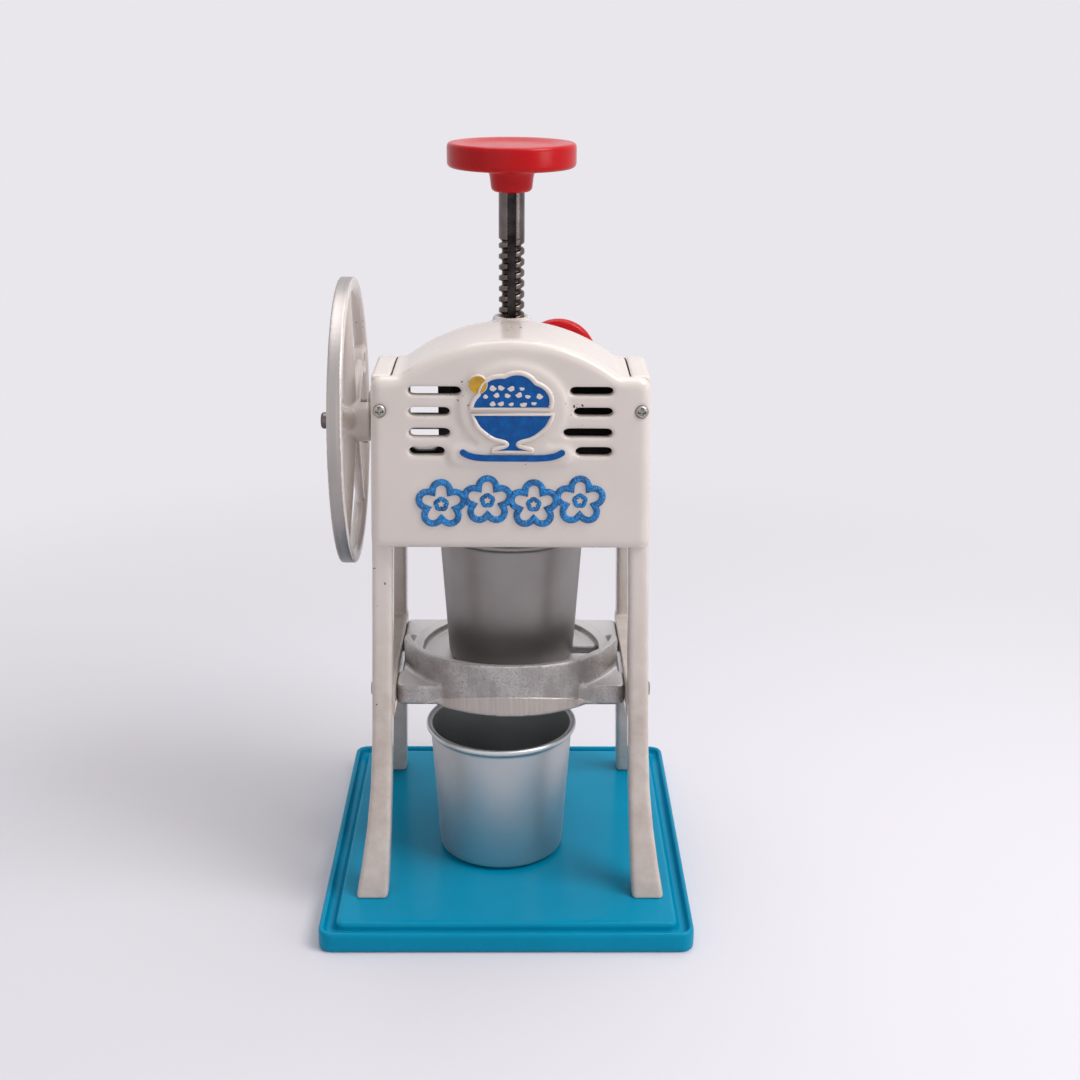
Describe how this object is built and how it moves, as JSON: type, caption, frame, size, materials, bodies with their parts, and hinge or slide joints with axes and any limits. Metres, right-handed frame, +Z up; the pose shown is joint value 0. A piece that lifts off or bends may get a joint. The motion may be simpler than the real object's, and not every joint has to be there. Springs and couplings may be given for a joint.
{
  "type": "ice shaver",
  "caption": "Hand cranked table ice shaver: a side handwheel turns a toothed ice plate through bevel gears over a bladed table, with two cups and a tray.",
  "frame": {"origin": "underside of the tray's centre boss, on the screw spindle's axis", "axes": "+X to the right of a user who faces the front cover, +Y away from the user, +Z up along the spindle"},
  "size_m": [0.1775, 0.195, 0.359],
  "materials": {
    "cream_enamel": "cream enamel paint on cast iron",
    "turquoise_abs": "moulded turquoise ABS, satin gloss",
    "cast_aluminium": "sand cast, tumbled grey",
    "spun_aluminium": "spun and satin polished",
    "blade_steel": "ground tool steel",
    "spindle_steel": "oiled dark machine steel",
    "gear_iron": "cut teeth, greased",
    "bush_bronze": "turned bronze",
    "plated_screw": "zinc plated steel",
    "band_steel": "spring steel strip",
    "red_plastic": "moulded red plastic, glossy",
    "bridge_iron": "bare grey casting"
  },
  "bodies": {
    "root": {"base_tray": "turquoise_abs", "left_side_frame": "cream_enamel", "right_side_frame": "cream_enamel", "front_cover": "cream_enamel", "rear_cover": "cream_enamel", "bearing_bridge": "bridge_iron", "gear_bridge": "bridge_iron", "axle_bush_outer": "bush_bronze", "axle_bush_inner": "bush_bronze", "spindle_bush": "bush_bronze", "gear_bush": "bush_bronze", "blade_table": "cast_aluminium", "blade": "blade_steel", "blade_screws": "plated_screw", "front_cover_screws": "plated_screw", "rear_cover_screws": "plated_screw", "hood_side_screws": "plated_screw", "bridge_bolts": "plated_screw", "table_bolts": "plated_screw", "brake_band": "band_steel"},
    "handwheel": {"handwheel": "cream_enamel", "drive_axle": "spindle_steel", "bevel_pinion": "gear_iron", "pinion_pin": "plated_screw", "wheel_pin": "plated_screw", "axle_collar": "spindle_steel"},
    "gear": {"bevel_gear": "gear_iron", "gear_key": "spindle_steel"},
    "spindle": {"screw_spindle": "spindle_steel", "top_handle": "red_plastic", "handle_pin": "plated_screw", "ice_plate": "cast_aluminium", "plate_screw": "plated_screw"},
    "feed_nut": {"feed_nut": "bush_bronze", "nut_retainer": "spindle_steel"},
    "brake": {"brake_screw": "plated_screw", "brake_knob": "red_plastic"},
    "upper_cup": {"upper_cup": "spun_aluminium"},
    "lower_cup": {"lower_cup": "spun_aluminium"}
  },
  "joints": [
    {"name": "crank_turn", "type": "hinge", "parent": "root", "child": "handwheel", "pos_m": [-0.0772, 0, 0.22869], "axis": [1, 0, 0], "continuous": true},
    {"name": "gear_turn", "type": "hinge", "parent": "root", "child": "gear", "pos_m": [0, 0, 0.2], "axis": [0, 0, 1], "continuous": true},
    {"name": "spindle_feed", "type": "slide", "parent": "gear", "child": "spindle", "axis": [0, 0, 1], "range_m": [-0.05, 0]},
    {"name": "nut_turn", "type": "hinge", "parent": "gear", "child": "feed_nut", "pos_m": [0, 0, 0.245], "axis": [0, 0, 1], "range_deg": [0, 3600]},
    {"name": "brake_turn", "type": "hinge", "parent": "root", "child": "brake", "pos_m": [0.0237, 0.06, 0.246], "axis": [0, 1, 0], "range_deg": [0, 270]},
    {"name": "upper_cup_lift", "type": "slide", "parent": "root", "child": "upper_cup", "axis": [0, 0, 1], "range_m": [0, 0.006]},
    {"name": "lower_cup_slide", "type": "slide", "parent": "root", "child": "lower_cup", "axis": [0, -1, 0], "range_m": [0, 0.07]}
  ],
  "couplings": [
    {"joint": "gear_turn", "follows": "crank_turn", "ratio": -0.5},
    {"joint": "nut_turn", "follows": "spindle_feed", "rad_per_m": -1256.6}
  ]
}
